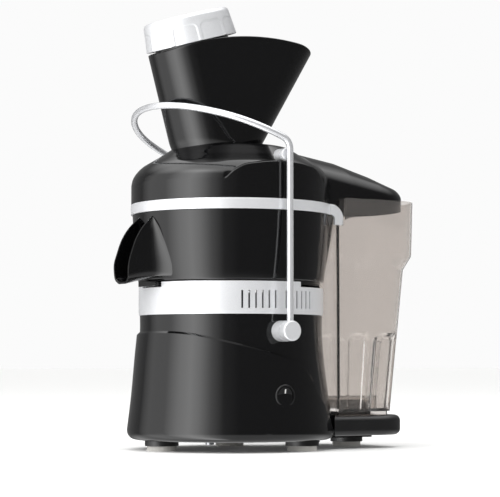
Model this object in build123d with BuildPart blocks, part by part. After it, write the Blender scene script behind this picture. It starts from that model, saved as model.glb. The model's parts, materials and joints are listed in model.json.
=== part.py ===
# Centrifugal juicer. Millimetres, +Z up, worked out round the drive axis from counter level.
# -Y is the front, where the spout is, +Y the rear, where the pulp container stands, +X the switch side.
# Each piece is saved with the middle of the whole footprint, a little behind the drive axis, at the origin.
from build123d import *
from math import cos, radians, sin, sqrt, tan
import os

os.makedirs("parts", exist_ok=True)

# Footprint: the spout's tip and the container's back are this far from the drive axis
spout_reach = 124.7
container_reach = 195
footprint_middle = (container_reach - spout_reach) / 2

# Levels above the counter
foot_top = 10
tray_top = 20
housing_top = 132.5
band_top = 164
bowl_floor = 165
bowl_top = 232.5
ring_top = 243
pivot_height = 116

# Base
tray_radius = 103.5
shell_wall = 2.6
housing_line = [(102, tray_top), (98, 48), (93, 86), (91, housing_top)]
skirt_line = [(tray_radius, tray_top), (100, 48.5), (95.5, 98.5), (93.5, 118)]
platform_width = 132
platform_rear = 180
platform_bottom = 13
platform_top = 33
switch_height = 54
switch_face = 98

# Feet: three round the base and one under the platform
foot_radius = 16.5
foot_places = [(0, -79), (68, 40), (-68, 40)]
rear_foot = (0, 140)

# Motor
shaft_radius = 4
core_low, core_high = 62, 104
armature_radius = 23
bearing_radius = 11

# Bowl, basket and lid
bowl_line = [(92.5, bowl_floor), (94.5, 180), (97, 205), (98.6, bowl_top)]
bowl_hollow_line = [(89.5, bowl_floor + 2.6), (92.1, 180), (94.6, 205), (96.2, bowl_top)]
ring_radius = 100.4
lid_line = [(58, 299.5), (65, 295.5), (75, 288.5), (89, 280), (97, 272), (100, 263)]
duct_half = 65.5

# Feed tube: axis through (0, -tube_front, dome level), leaning towards the front
tube_lean = 15.6
tube_front = 17.6
tube_level = 300.5
tube_outer = 43.8
tube_inner = 41.2
chute_bottom = 217
flare_bottom, flare_top = 305, 404

# Pusher, measured along the tube from tube_level
pusher_radius = 37
pusher_low = -72
cap_low, cap_high = 108.8, 134.8
cap_radius = 46

# Pulp container
box_half = 70
box_front_radius = 106
box_rear = container_reach
box_bottom = 37
box_top = 250
box_wall = 2

# Locking arm
wire_radius = 3.2
leg_reach = 108
loop_level = 298
loop_rise = 22.2
loop_start = 8
side_arc = 80.35
corner_radius = 12

# The cord's inlet, low on the left of the rear
inlet_angle = radians(131)
inlet_plane = Plane(
    origin=(98 * cos(inlet_angle), 98 * sin(inlet_angle), 42),
    z_dir=(cos(inlet_angle), sin(inlet_angle), 0),
)

tube_plane = Plane(
    origin=(0, -tube_front, tube_level),
    x_dir=(1, 0, 0),
    z_dir=(0, -sin(radians(tube_lean)), cos(radians(tube_lean))),
)


def save(name, piece):
    """Writes one named piece, moved from the drive axis to the footprint's origin."""
    placed = Pos(0, -footprint_middle, 0) * piece.part
    placed.label = name
    export_step(placed, f"parts/{name}.step")


def turned(points):
    """A closed straight-sided half-section, radius by height, ready to be revolved."""
    with BuildSketch(Plane.XZ) as section:
        with BuildLine():
            Polyline(*points, close=True)
        make_face()
    return section.sketch


def shell_section(outer, inner):
    """A half-section between two smooth lines, both given from bottom to top or both from top to bottom."""
    with BuildSketch(Plane.XZ) as section:
        with BuildLine():
            Spline(*outer)
            Spline(*inner)
            Line(outer[0], inner[0])
            Line(outer[-1], inner[-1])
        make_face()
    return section.sketch


def core_section(outer):
    """A half-section between a smooth line and the axis."""
    with BuildSketch(Plane.XZ) as section:
        with BuildLine():
            Spline(*outer)
            Polyline(outer[-1], (0, outer[-1][1]), (0, outer[0][1]), outer[0])
        make_face()
    return section.sketch


def inset(line, wall):
    """The same line, closer to the axis."""
    return [(radius - wall, height) for radius, height in line]


# ---------------------------------------------------------------- base

with BuildPart() as base_tray:
    with BuildSketch(Plane.XZ):
        with BuildLine():
            Polyline((0, foot_top), (tray_radius - 9, foot_top))
            RadiusArc((tray_radius - 9, foot_top), (tray_radius, foot_top + 9), -9)
            Polyline(
                (tray_radius, foot_top + 9),
                (tray_radius, tray_top),
                (tray_radius - 4.5, tray_top),
                (tray_radius - 4.5, foot_top + 9),
                (tray_radius - 11, foot_top + 3),
                (0, foot_top + 3),
                (0, foot_top),
            )
        make_face()
    revolve(axis=Axis.Z)
    with BuildSketch(Plane.XY.offset(foot_top)):
        with Locations((0, 122)):
            Rectangle(56, 60)
    extrude(amount=platform_bottom - foot_top)
    with BuildSketch(Plane.XY.offset(foot_top)):
        with PolarLocations(50, 12):
            SlotOverall(26, 4)
    extrude(amount=platform_bottom - foot_top, mode=Mode.SUBTRACT)
    with BuildSketch(Plane.XY.offset(foot_top)):
        with PolarLocations(86, 4, start_angle=45):
            Circle(2.4)
        with Locations((16, 120), (-16, 120)):
            Circle(2.4)
    extrude(amount=platform_bottom - foot_top, mode=Mode.SUBTRACT)

with BuildPart() as motor_housing:
    revolve(shell_section(housing_line, inset(housing_line, shell_wall)), axis=Axis.Z)
    with BuildSketch(Plane.XY.offset(platform_bottom)):
        with PolarLocations(86, 4, start_angle=45):
            Circle(5)
    extrude(amount=30)
    with BuildSketch(Plane.XY.offset(platform_bottom + 4)):
        with PolarLocations(92, 4, start_angle=45):
            Rectangle(9, 4)
    extrude(amount=24)
    with BuildSketch(Plane.XY.offset(platform_bottom)):
        with PolarLocations(86, 4, start_angle=45):
            Circle(1.8)
    extrude(amount=24, mode=Mode.SUBTRACT)
    with BuildSketch(Plane.YZ.offset(92)):
        with Locations((0, switch_height)):
            Circle(15)
    extrude(amount=switch_face - 92)
    with BuildSketch(Plane.YZ.offset(switch_face)):
        with Locations((0, switch_height)):
            Circle(15.3)
    extrude(amount=10, mode=Mode.SUBTRACT)
    with BuildSketch(Plane.YZ.offset(85)):
        with Locations((0, switch_height)):
            Circle(10.1)
    extrude(amount=20, mode=Mode.SUBTRACT)
    with BuildSketch(Plane.YZ.offset(-95)):
        with Locations((0, pivot_height)):
            Circle(7)
    extrude(amount=190, mode=Mode.SUBTRACT)
    with BuildSketch(inlet_plane.offset(-15)):
        Circle(7)
    extrude(amount=30, mode=Mode.SUBTRACT)

with BuildPart() as housing_envelope:
    revolve(core_section(housing_line), axis=Axis.Z)

with BuildPart() as front_skirt:
    skirt_inner = [(102.15, tray_top), (98.05, 48.5), (92.35, 98.5), (91.8, 118)]
    revolve(shell_section(skirt_line, skirt_inner), axis=Axis.Z)
    with BuildSketch(Plane.YZ):
        with BuildLine():
            edge = Spline((-88, 116), (-50, 106), (0, 92.5), (27, 82), (48, 57), (63, 40), (74, tray_top))
            Polyline(edge @ 0, (-110, 116), (-110, 140), (110, 140), (110, tray_top), edge @ 1)
        make_face()
    extrude(amount=120, both=True, mode=Mode.SUBTRACT)
    with BuildSketch(Plane.YZ.offset(80)):
        with Locations((0, switch_height)):
            Circle(15.3)
    extrude(amount=30, mode=Mode.SUBTRACT)

with BuildPart() as pulp_platform:
    with BuildSketch(Plane.XY.offset(platform_bottom)):
        with Locations((0, platform_rear - 70)):
            RectangleRounded(platform_width, 140, 40)
    extrude(amount=platform_top - platform_bottom)
    rounded = pulp_platform.edges().group_by(Axis.Z)
    fillet(rounded[-1] + rounded[0], radius=6)
    with BuildSketch(Plane.XY.offset(foot_top)):
        Circle(tray_radius + 0.2)
    extrude(amount=40, mode=Mode.SUBTRACT)
    with BuildSketch(Plane.XY.offset(platform_bottom)):
        with Locations((16, 120), (-16, 120)):
            Circle(1.8)
    extrude(amount=12, mode=Mode.SUBTRACT)

with BuildPart() as platform_rail:
    with BuildSketch(Plane.XY.offset(platform_top)):
        with Locations((0, 136)):
            RectangleRounded(28, 54, 6)
    extrude(amount=15)
    fillet(platform_rail.faces().sort_by(Axis.Z)[-1].edges(), radius=3)

with BuildPart() as foot_collars:
    with BuildSketch(Plane.XY.offset(5)):
        with Locations(*foot_places, rear_foot):
            Circle(foot_radius)
    extrude(amount=foot_top - 5)

with BuildPart() as foot_pads:
    with BuildSketch(Plane.XY):
        with Locations(*foot_places, rear_foot):
            Circle(foot_radius - 2)
            Circle(3, mode=Mode.SUBTRACT)
    extrude(amount=5)

with BuildPart() as base_screws:
    with BuildSketch(Plane.XY.offset(foot_top - 2.2)):
        with PolarLocations(86, 4, start_angle=45):
            Circle(4)
    extrude(amount=2.2)
    with BuildSketch(Plane.XY.offset(foot_top)):
        with PolarLocations(86, 4, start_angle=45):
            Circle(1.7)
    extrude(amount=22)

with BuildPart() as vent_band:
    revolve(
        turned([(88.9, housing_top), (91.6, housing_top), (92.2, 136), (92.2, band_top), (88.9, band_top)]),
        axis=Axis.Z,
    )
    with BuildSketch(Plane.XY.offset(138)):
        for side in (0, 180):
            for slot in range(12):
                angle = side + (slot - 5.5) * 4.2 + (1.7 if slot > 5 else -1.7)
                with PolarLocations(90.5, 1, start_angle=angle):
                    Rectangle(9, 1.8)
    extrude(amount=17, mode=Mode.SUBTRACT)
    with BuildSketch(Plane.XY.offset(159)):
        with Locations((0, -90)):
            Rectangle(37, 20)
        with Locations((0, 75)):
            Rectangle(200, 100)
    extrude(amount=10, mode=Mode.SUBTRACT)

with BuildPart() as motor_deck:
    revolve(
        turned([
            (15, 158), (22, 158), (22, 161.5), (88.7, 161.5), (88.7, bowl_floor),
            (17, bowl_floor), (17, bowl_floor + 3), (15, bowl_floor + 3),
        ]),
        axis=Axis.Z,
    )
    with BuildSketch(Plane.XY.offset(136)):
        with GridLocations(72, 72, 2, 2):
            Circle(6)
            Circle(1.8, mode=Mode.SUBTRACT)
    extrude(amount=161.5 - 136)
    with BuildSketch(Plane.XY.offset(155)):
        with PolarLocations(80, 6):
            Rectangle(17.4, 3)
    extrude(amount=6.5)

for name, side in (("pivot_boss_right", 1), ("pivot_boss_left", -1)):
    with BuildPart() as boss:
        with BuildSketch(Plane.YZ.offset(side * 85)):
            with Locations((0, pivot_height)):
                Circle(10)
        extrude(amount=side * 18)
        add(housing_envelope.part, mode=Mode.SUBTRACT)
        with BuildSketch(Plane.YZ.offset(side * 82)):
            with Locations((0, pivot_height)):
                Circle(6.9)
        extrude(amount=side * 12)
        with BuildSketch(Plane.YZ.offset(side * 80)):
            with Locations((0, pivot_height)):
                Circle(4.05)
        extrude(amount=side * 30, mode=Mode.SUBTRACT)
    save(name, boss)

# ---------------------------------------------------------------- switch

with BuildPart() as switch_body:
    with BuildSketch(Plane.YZ.offset(74)):
        with Locations((0, switch_height)):
            Circle(9.9)
    extrude(amount=14)
    with BuildSketch(Plane.YZ.offset(66)):
        with Locations((0, switch_height)):
            with GridLocations(8, 7, 1, 2):
                Rectangle(6.3, 0.8)
    extrude(amount=8)

with BuildPart() as switch_bezel:
    with BuildSketch(Plane.YZ.offset(88)):
        with Locations((0, switch_height)):
            Circle(9.9)
            Circle(9.3, mode=Mode.SUBTRACT)
    extrude(amount=switch_face - 88)
    with BuildSketch(Plane.YZ.offset(switch_face)):
        with Locations((0, switch_height)):
            Circle(11)
            Circle(9.3, mode=Mode.SUBTRACT)
    extrude(amount=2.2)
    fillet(switch_bezel.faces().sort_by(Axis.X)[-1].edges().sort_by(SortBy.LENGTH)[-1], radius=1)

with BuildPart() as switch_rocker:
    with BuildSketch(Plane.YZ.offset(94)):
        with Locations((0, switch_height)):
            Circle(8.3)
    extrude(amount=6)
    with BuildSketch(Plane.XZ.offset(-10)):
        with BuildLine():
            Polyline((101, 70), (98.9, switch_height), (101, 38), (105, 38), (105, 70), close=True)
        make_face()
    extrude(amount=20, mode=Mode.SUBTRACT)

# ---------------------------------------------------------------- motor

with BuildPart() as stator_core:
    with BuildSketch(Plane.XY.offset(core_low)):
        Circle(46)
        Circle(40, mode=Mode.SUBTRACT)
        Rectangle(28, 82)
        Circle(armature_radius + 0.6, mode=Mode.SUBTRACT)
    extrude(amount=core_high - core_low)

with BuildPart() as field_windings:
    for side in (1, -1):
        with BuildSketch(Plane.XZ.offset(side * 28)):
            with Locations((0, (core_low + core_high) / 2)):
                RectangleRounded(42.4, core_high - core_low + 15, 5)
                Rectangle(28.4, core_high - core_low + 0.4, mode=Mode.SUBTRACT)
        extrude(amount=side * 5.4)

with BuildPart() as armature_core:
    with BuildSketch(Plane.XY.offset(core_low)):
        Circle(armature_radius)
        Circle(shaft_radius, mode=Mode.SUBTRACT)
        with PolarLocations(17.5, 12):
            Circle(2.4, mode=Mode.SUBTRACT)
        with PolarLocations(21, 12):
            Rectangle(5, 1.6, mode=Mode.SUBTRACT)
    extrude(amount=core_high - core_low)

with BuildPart() as armature_windings:
    for level in (core_high, core_low - 9):
        with BuildSketch(Plane.XY.offset(level)):
            Circle(20.5)
            Circle(shaft_radius + 1.5, mode=Mode.SUBTRACT)
        extrude(amount=9)
    fillet(armature_windings.edges().filter_by(GeomType.CIRCLE).group_by(SortBy.RADIUS)[-1], radius=3)
    with BuildSketch(Plane.XY.offset(core_low)):
        with PolarLocations(17.5, 12):
            Circle(2.3)
    extrude(amount=core_high - core_low)

with BuildPart() as commutator:
    with BuildSketch(Plane.XY.offset(35)):
        Circle(12)
        Circle(shaft_radius, mode=Mode.SUBTRACT)
        with PolarLocations(11.5, 24):
            Rectangle(2, 0.6, mode=Mode.SUBTRACT)
    extrude(amount=17)

with BuildPart() as motor_shaft:
    with BuildSketch(Plane.XY.offset(23)):
        Circle(shaft_radius)
    extrude(amount=186 - 23)
    chamfer(motor_shaft.edges(), length=0.6)

for name, level in (("bottom_bearing", 26), ("top_bearing", 120)):
    with BuildPart() as bearing:
        with BuildSketch(Plane.XY.offset(level)):
            Circle(bearing_radius)
            Circle(shaft_radius + 0.04, mode=Mode.SUBTRACT)
        extrude(amount=7)
        with BuildSketch(Plane.XY.offset(level + 6.2)):
            Circle(8.8)
            Circle(6.2, mode=Mode.SUBTRACT)
        extrude(amount=0.8, mode=Mode.SUBTRACT)
    save(name, bearing)

with BuildPart() as motor_bottom_bracket:
    with BuildSketch(Plane.XY.offset(23)):
        Circle(15)
        Circle(7, mode=Mode.SUBTRACT)
    extrude(amount=3)
    with BuildSketch(Plane.XY.offset(26)):
        Circle(15)
        Circle(bearing_radius + 0.05, mode=Mode.SUBTRACT)
    extrude(amount=7)
    with BuildSketch(Plane.XY.offset(27)):
        Rectangle(92, 14)
        Rectangle(14, 72)
        Circle(14, mode=Mode.SUBTRACT)
    extrude(amount=5)
    with BuildSketch(Plane.XY.offset(27)):
        with Locations((43, 0), (-43, 0)):
            Rectangle(5.6, 14)
    extrude(amount=core_low - 27)
    with BuildSketch(Plane.XY.offset(27)):
        with Locations((0, 32), (0, -32)):
            Rectangle(14, 8)
    extrude(amount=11)

with BuildPart() as motor_top_bracket:
    with BuildSketch(Plane.XY.offset(118)):
        Circle(15)
        Circle(7, mode=Mode.SUBTRACT)
    extrude(amount=2)
    with BuildSketch(Plane.XY.offset(120)):
        Circle(15)
        Circle(bearing_radius + 0.05, mode=Mode.SUBTRACT)
    extrude(amount=7)
    with BuildSketch(Plane.XY.offset(120)):
        Rectangle(92, 14)
        with Locations(Location((0, 0), 45), Location((0, 0), -45)):
            Rectangle(120, 14)
        Circle(14, mode=Mode.SUBTRACT)
        with GridLocations(72, 72, 2, 2):
            Circle(2.2, mode=Mode.SUBTRACT)
    extrude(amount=5)
    with BuildSketch(Plane.XY.offset(core_high)):
        with Locations((43, 0), (-43, 0)):
            Rectangle(5.6, 14)
    extrude(amount=125 - core_high)

with BuildPart() as brush_holders:
    with BuildSketch(Plane.XY.offset(38)):
        with Locations((0, 26), (0, -26)):
            Rectangle(11, 20)
    extrude(amount=11)
    with BuildSketch(Plane.XY.offset(40.2)):
        Rectangle(6.6, 68)
    extrude(amount=6.6, mode=Mode.SUBTRACT)

with BuildPart() as carbon_brushes:
    with BuildSketch(Plane.XY.offset(40.5)):
        with Locations((0, 20.2), (0, -20.2)):
            Rectangle(6, 16)
    extrude(amount=6)

with BuildPart() as brush_springs:
    for side in (1, -1):
        with BuildSketch(Plane.XZ.offset(side * 28.2)):
            with Locations((0, 43.5)):
                Circle(2.6)
                Circle(1.8, mode=Mode.SUBTRACT)
        extrude(amount=side * 5.8)

with BuildPart() as cooling_fan:
    with BuildSketch(Plane.XY.offset(130)):
        Circle(9)
        Circle(shaft_radius, mode=Mode.SUBTRACT)
    extrude(amount=12)
    with BuildSketch(Plane.XY.offset(130)):
        Circle(38)
        Circle(9, mode=Mode.SUBTRACT)
    extrude(amount=1.6)
    with BuildSketch(Plane.XY.offset(131.6)):
        with PolarLocations(23.5, 11):
            Rectangle(28, 1.6, rotation=18)
    extrude(amount=10)

with BuildPart() as rubber_mounts:
    with BuildSketch(Plane.XY.offset(125)):
        with GridLocations(72, 72, 2, 2):
            Circle(7.5)
            Circle(2.2, mode=Mode.SUBTRACT)
    extrude(amount=11)

with BuildPart() as motor_screws:
    with BuildSketch(Plane.XY.offset(117)):
        with GridLocations(72, 72, 2, 2):
            Circle(4)
    extrude(amount=3)
    with BuildSketch(Plane.XY.offset(120)):
        with GridLocations(72, 72, 2, 2):
            Circle(1.7)
    extrude(amount=28)

with BuildPart() as capacitor:
    with BuildSketch(Plane.XY.offset(platform_bottom)):
        with Locations((-62, 10)):
            RectangleRounded(14, 30, 2)
    extrude(amount=24)

with BuildPart() as terminal_block:
    with BuildSketch(Plane.XY.offset(platform_bottom)):
        with Locations((-38, 44)):
            Rectangle(30, 14, rotation=-45)
    extrude(amount=14)

with BuildPart() as cord_inlet_gland:
    with BuildSketch(inlet_plane.offset(-8)):
        Circle(6.9)
        Circle(3.6, mode=Mode.SUBTRACT)
    extrude(amount=12)

with BuildPart() as interlock_switch:
    with BuildSketch(Plane.XY.offset(pivot_height - 22)):
        with Locations((70, 0)):
            Rectangle(14, 20)
    extrude(amount=9)

# ---------------------------------------------------------------- drive, basket and bowl

with BuildPart() as drive_coupling:
    with BuildSketch(Plane.XY.offset(170)):
        Circle(12)
        with PolarLocations(12, 6):
            Circle(2.5)
        Circle(shaft_radius, mode=Mode.SUBTRACT)
    extrude(amount=14)

with BuildPart() as shaft_seal:
    with BuildSketch(Plane.XY.offset(158)):
        Circle(15)
        Circle(9, mode=Mode.SUBTRACT)
    extrude(amount=3)

with BuildPart() as filter_basket:
    revolve(
        turned([
            (12.3 + 2.6, 172), (19, 172), (19, 206), (57, 206), (84.5, 235), (88, 235),
            (88, 237.5), (83.5, 237.5), (56, 208.5), (4.2, 208.5), (4.2, 186), (14.9, 186),
        ]),
        axis=Axis.Z,
    )
    with BuildSketch(Plane.XY.offset(195)):
        with PolarLocations(40, 12):
            SlotOverall(22, 3)
    extrude(amount=20, mode=Mode.SUBTRACT)
    with BuildSketch(Plane.XY.offset(206)):
        with PolarLocations(70, 30):
            SlotOverall(17, 2.4)
    extrude(amount=40, mode=Mode.SUBTRACT)

screw_circle = 31

with BuildPart() as grater_disc:
    with BuildSketch(Plane.XY.offset(208.5)):
        Circle(52)
        with PolarLocations(screw_circle, 6):
            Circle(1.7, mode=Mode.SUBTRACT)
    extrude(amount=1.2)
    for row in range(4):
        with BuildSketch(Plane.XY.offset(209.7)):
            with PolarLocations(16 + 10 * row, 8 + 5 * row, start_angle=11 * row):
                Rectangle(1, 3)
        extrude(amount=1.6)

with BuildPart() as basket_screws:
    with BuildSketch(Plane.XY.offset(209.7)):
        with PolarLocations(screw_circle, 6):
            Circle(2.6)
    extrude(amount=1.4)
    with BuildSketch(Plane.XY.offset(208.5)):
        with PolarLocations(screw_circle, 6):
            Circle(1.6)
    extrude(amount=1.2)

spout_rows = [
    (160, 40, 120), (169, 40, 124.2), (178, 40, spout_reach), (190, 38.5, 122), (206, 33, 116), (222, 24, 103.5),
]
lip_half = 14
spout_root = 76
spout_wall = 2.4


def spout_outline(row, wall, reach):
    """One level of the spout: straight back to the bowl, then narrowing to the lip."""
    height, half, lip = row
    foot = sqrt(97**2 - half**2)
    slope = (half - lip_half) / (lip - foot)
    side = wall * sqrt(1 + slope**2)
    front = lip_half - side - reach * slope
    with BuildSketch(Plane.XY.offset(height)) as outline:
        with BuildLine():
            Polyline(
                (half - side, -spout_root),
                (half - side, -foot),
                (front, -lip - reach),
                (-front, -lip - reach),
                (side - half, -foot),
                (side - half, -spout_root),
                close=True,
            )
        make_face()
    return outline.sketch


with BuildPart() as spout_outer:
    loft([spout_outline(row, 0, 0) for row in spout_rows], ruled=True)
    with BuildSketch(Plane.YZ):
        with BuildLine():
            Polyline((-130, 150), (-130, 161.6), (-88, 170.6), (-70, 170.6), (-70, 150), close=True)
        make_face()
    extrude(amount=60, both=True, mode=Mode.SUBTRACT)

with BuildPart() as spout_hollow:
    loft([spout_outline(row, spout_wall, 8) for row in spout_rows], ruled=True)
    with BuildSketch(Plane.YZ):
        with BuildLine():
            Polyline((-140, 140), (-140, 162), (-88, 173.2), (-60, 173.2), (-60, 140), close=True)
        make_face()
    extrude(amount=60, both=True, mode=Mode.SUBTRACT)

with BuildPart() as bowl_envelope:
    revolve(core_section(bowl_line), axis=Axis.Z)

with BuildPart() as juice_bowl:
    add(bowl_envelope.part)
    add(spout_outer.part)
    with BuildSketch(Plane.XY.offset(188)):
        with Locations((0, 76)):
            Rectangle(2 * duct_half - 16, 34)
        Circle(96.5, mode=Mode.INTERSECT)
    with BuildSketch(Plane.XY.offset(bowl_top)):
        with Locations((0, 82)):
            Rectangle(2 * duct_half, 46)
        Circle(box_front_radius - 0.6, mode=Mode.INTERSECT)
    loft()
    revolve(core_section(bowl_hollow_line), axis=Axis.Z, mode=Mode.SUBTRACT)
    add(spout_hollow.part, mode=Mode.SUBTRACT)
    with BuildSketch(Plane.XY.offset(bowl_floor)):
        Circle(26)
    extrude(amount=20)
    with BuildSketch(Plane.XY.offset(bowl_floor)):
        Circle(20)
    extrude(amount=30, mode=Mode.SUBTRACT)
    with BuildSketch(Plane.XZ.offset(92.4)):
        with Locations((0, 162.5)):
            Rectangle(34, 6)
    extrude(amount=4)

with BuildPart() as trim_ring:
    with BuildSketch(Plane.XY.offset(bowl_top)):
        Circle(ring_radius)
        with Locations((0, 80)):
            Rectangle(140, 40)
        Circle(94, mode=Mode.SUBTRACT)
        with Locations((0, 101)):
            Rectangle(300, 22, mode=Mode.SUBTRACT)
        with Locations((0, 85)):
            Rectangle(2 * duct_half + 0.4, 60, mode=Mode.SUBTRACT)
    extrude(amount=ring_top - bowl_top)
    for side in (1, -1):
        with BuildSketch(Plane.YZ.offset(side * (duct_half + 0.5))):
            with BuildLine():
                Polyline((74, ring_top), (82, ring_top))
                RadiusArc((82, ring_top), (89.5, 235.5), 7.5)
                Polyline((89.5, 235.5), (89.5, 222.5), (86, 222.5))
                RadiusArc((86, 222.5), (76, bowl_top), -10)
                Polyline((76, bowl_top), (74, bowl_top), (74, ring_top))
            make_face()
        extrude(amount=side * 3.9)

# ---------------------------------------------------------------- lid

hood_front, hood_rear = 58, 186
hood_rows = [
    (hood_front, 63, 276, 300), (107, 63, 268, 292), (145, 60.5, 262, 281), (hood_rear, 57, 254, 267),
]
hood_corner = 36
skirt_front, skirt_back = 231, 243
lid_wall = 2.4
lid_inner_line = [(50, 298.4), (63.5, 293.5), (73.7, 286.4), (87.2, 278), (94.7, 270.4), (97.6, 262)]
gusset_arch = [(-56, 264), (-44.6, 273.8), (-26.5, 278), (0, 280), (26.5, 278), (44.6, 273.8), (56, 264)]


def hood_outline(row, wall):
    """One cross-section of the hood, open-ended downwards with a crowned roof."""
    place, half, edge, ridge = row
    half, edge, ridge = half - wall, edge - wall, ridge - wall
    with BuildSketch(Plane.XZ.offset(-place)) as outline:
        with BuildLine():
            ThreePointArc((-half, edge), (0, ridge), (half, edge))
            Polyline((half, edge), (half, 225), (-half, 225), (-half, edge))
        make_face()
    return outline.sketch


with BuildPart() as hood_outer:
    loft([hood_outline(row, 0) for row in hood_rows], ruled=True)
    with BuildSketch(Plane.XY.offset(220)):
        with Locations((0, (hood_rear - 40) / 2)):
            RectangleRounded(2 * 63, hood_rear + 40, hood_corner)
    extrude(amount=100, mode=Mode.INTERSECT)
    with BuildSketch(Plane.XY.offset(200)):
        Circle(box_front_radius + 0.6)
    extrude(amount=ring_top - 200, mode=Mode.SUBTRACT)
    with BuildSketch(Plane.YZ):
        with BuildLine():
            edge = ThreePointArc((80, skirt_front), (140, 235), (200, skirt_back + 2))
            Polyline(edge @ 1, (200, 200), (80, 200), edge @ 0)
        make_face()
    extrude(amount=80, both=True, mode=Mode.SUBTRACT)

with BuildPart() as hood_hollow:
    loft([hood_outline(row, lid_wall) for row in hood_rows], ruled=True)
    with BuildSketch(Plane.XY.offset(200)):
        with Locations((0, (hood_rear - lid_wall - 40) / 2)):
            RectangleRounded(2 * (63 - lid_wall), hood_rear - lid_wall + 40, hood_corner - lid_wall)
    extrude(amount=120, mode=Mode.INTERSECT)

with BuildPart() as lid_envelope:
    revolve(core_section([(50, 301)] + lid_line), axis=Axis.Z)
    with BuildSketch(Plane.XY.offset(ring_top)):
        Circle(100)
    extrude(amount=263 - ring_top)

with BuildPart() as gussets:
    with BuildSketch(Plane.YZ):
        with BuildLine():
            arch = Spline(*gusset_arch)
            Polyline(arch @ 0, (-56, 250), (56, 250), arch @ 1)
        make_face()
    extrude(amount=110, both=True)
    with BuildSketch(Plane.XY.offset(240)):
        Circle(100)
    extrude(amount=50, mode=Mode.INTERSECT)

with BuildPart() as lid:
    add(lid_envelope.part)
    add(gussets.part)
    add(hood_outer.part)
    revolve(core_section(lid_inner_line), axis=Axis.Z, mode=Mode.SUBTRACT)
    with BuildSketch(Plane.XY.offset(ring_top)):
        Circle(100 - lid_wall)
    extrude(amount=262 - ring_top, mode=Mode.SUBTRACT)
    add(hood_hollow.part, mode=Mode.SUBTRACT)
    with BuildSketch(tube_plane.offset(-60)):
        Circle(tube_outer + 0.1)
    extrude(amount=90, mode=Mode.SUBTRACT)

for name, side in (("lid_stud_right", 1), ("lid_stud_left", -1)):
    with BuildPart() as stud:
        with BuildSketch(Plane.YZ.offset(side * 88)):
            with Locations((0, 285.8)):
                Circle(5.75)
        extrude(amount=side * 15)
        fillet(stud.edges().sort_by(Axis.X)[-1 if side > 0 else 0], radius=1)
        with BuildSketch(Plane.YZ.offset(side * 98)):
            with Locations((0, 285.8)):
                Circle(7)
                Circle(4.8, mode=Mode.SUBTRACT)
        extrude(amount=side * 1.6, mode=Mode.SUBTRACT)
        add(lid_envelope.part, mode=Mode.SUBTRACT)
        add(gussets.part, mode=Mode.SUBTRACT)
    save(name, stud)

with BuildPart() as lid_gasket:
    with BuildSketch(Plane.XY.offset(ring_top)):
        Circle(97.4)
        Circle(94.2, mode=Mode.SUBTRACT)
        with Locations((0, 100)):
            Rectangle(300, 90, mode=Mode.SUBTRACT)
    extrude(amount=2)

# ---------------------------------------------------------------- hopper and pusher


def flare_outline(level, centre, rear, half, wall):
    """The hopper from above at one level: the tube's front half, straight sides, a rounded rear."""
    reach = tube_outer / cos(radians(tube_lean)) - wall
    front_half = tube_outer - wall
    half = half - wall
    rear_start = rear - half * 0.8
    with BuildSketch(Plane.XY.offset(level)) as outline:
        with BuildLine():
            EllipticalCenterArc((0, -centre), front_half, reach, 180, arc_size=180)
            Line((front_half, -centre), (half, rear_start))
            EllipticalCenterArc((0, rear_start), half, rear - wall - rear_start, 0, arc_size=180)
            Line((-half, rear_start), (-front_half, -centre))
        make_face()
    return outline.sketch


def tube_centre(level):
    """How far in front of the drive axis the tube's axis is at one level."""
    return tube_front + (level - tube_level) * tan(radians(tube_lean))


def flare(wall):
    """The flared part of the hopper as one solid."""
    low = flare_outline(flare_bottom, tube_centre(flare_bottom), 27, tube_outer + 0.3, wall)
    high = flare_outline(flare_top + 6, tube_centre(flare_top + 6), 90, 51, wall)
    return loft([low, high], ruled=True)


with BuildPart() as feed_tube:
    with BuildSketch(tube_plane.offset(-110)):
        Circle(tube_outer)
        Circle(tube_inner, mode=Mode.SUBTRACT)
    extrude(amount=140)
    split(bisect_by=Plane.XY.offset(flare_bottom + 3), keep=Keep.BOTTOM)
    split(bisect_by=Plane.XY.offset(chute_bottom), keep=Keep.TOP)

with BuildPart() as feed_hopper:
    add(flare(-1))
    add(flare(1.4), mode=Mode.SUBTRACT)
    add(feed_tube.part)
    with BuildSketch(Plane.YZ):
        with BuildLine():
            rim = ThreePointArc((-100, 382), (-10, 404), (92, 392))
            Polyline(rim @ 1, (92, 430), (-100, 430), rim @ 0)
        make_face()
    extrude(amount=80, both=True, mode=Mode.SUBTRACT)

with BuildPart() as pusher_body:
    with BuildSketch(tube_plane.offset(pusher_low)):
        Circle(pusher_radius)
    extrude(amount=cap_low + 3 - pusher_low)
    fillet(pusher_body.faces().sort_by(Axis.Z)[0].edges(), radius=3)
    with BuildSketch(tube_plane.offset(pusher_low + 3)):
        Circle(pusher_radius - 2.4)
    extrude(amount=cap_low + 3 - pusher_low, mode=Mode.SUBTRACT)

with BuildPart() as pusher_cap:
    with BuildSketch(tube_plane.offset(cap_low)):
        Circle(cap_radius)
    extrude(amount=cap_high - cap_low, taper=6.7)
    fillet(pusher_cap.faces().sort_by(Axis.Z)[-1].edges(), radius=5)
    with BuildSketch(tube_plane.offset(cap_low)):
        Circle(cap_radius - 3)
        Circle(pusher_radius + 0.05, mode=Mode.SUBTRACT)
    extrude(amount=18, taper=6.7, mode=Mode.SUBTRACT)
    with BuildSketch(tube_plane.offset(cap_low)):
        Circle(pusher_radius + 0.05)
    extrude(amount=3, mode=Mode.SUBTRACT)

# ---------------------------------------------------------------- pulp container

box_rows = [(box_bottom, 62, 171), (181, 66.5, 185), (195, 69.2, 193.6), (box_top, box_half, box_rear)]


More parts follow.
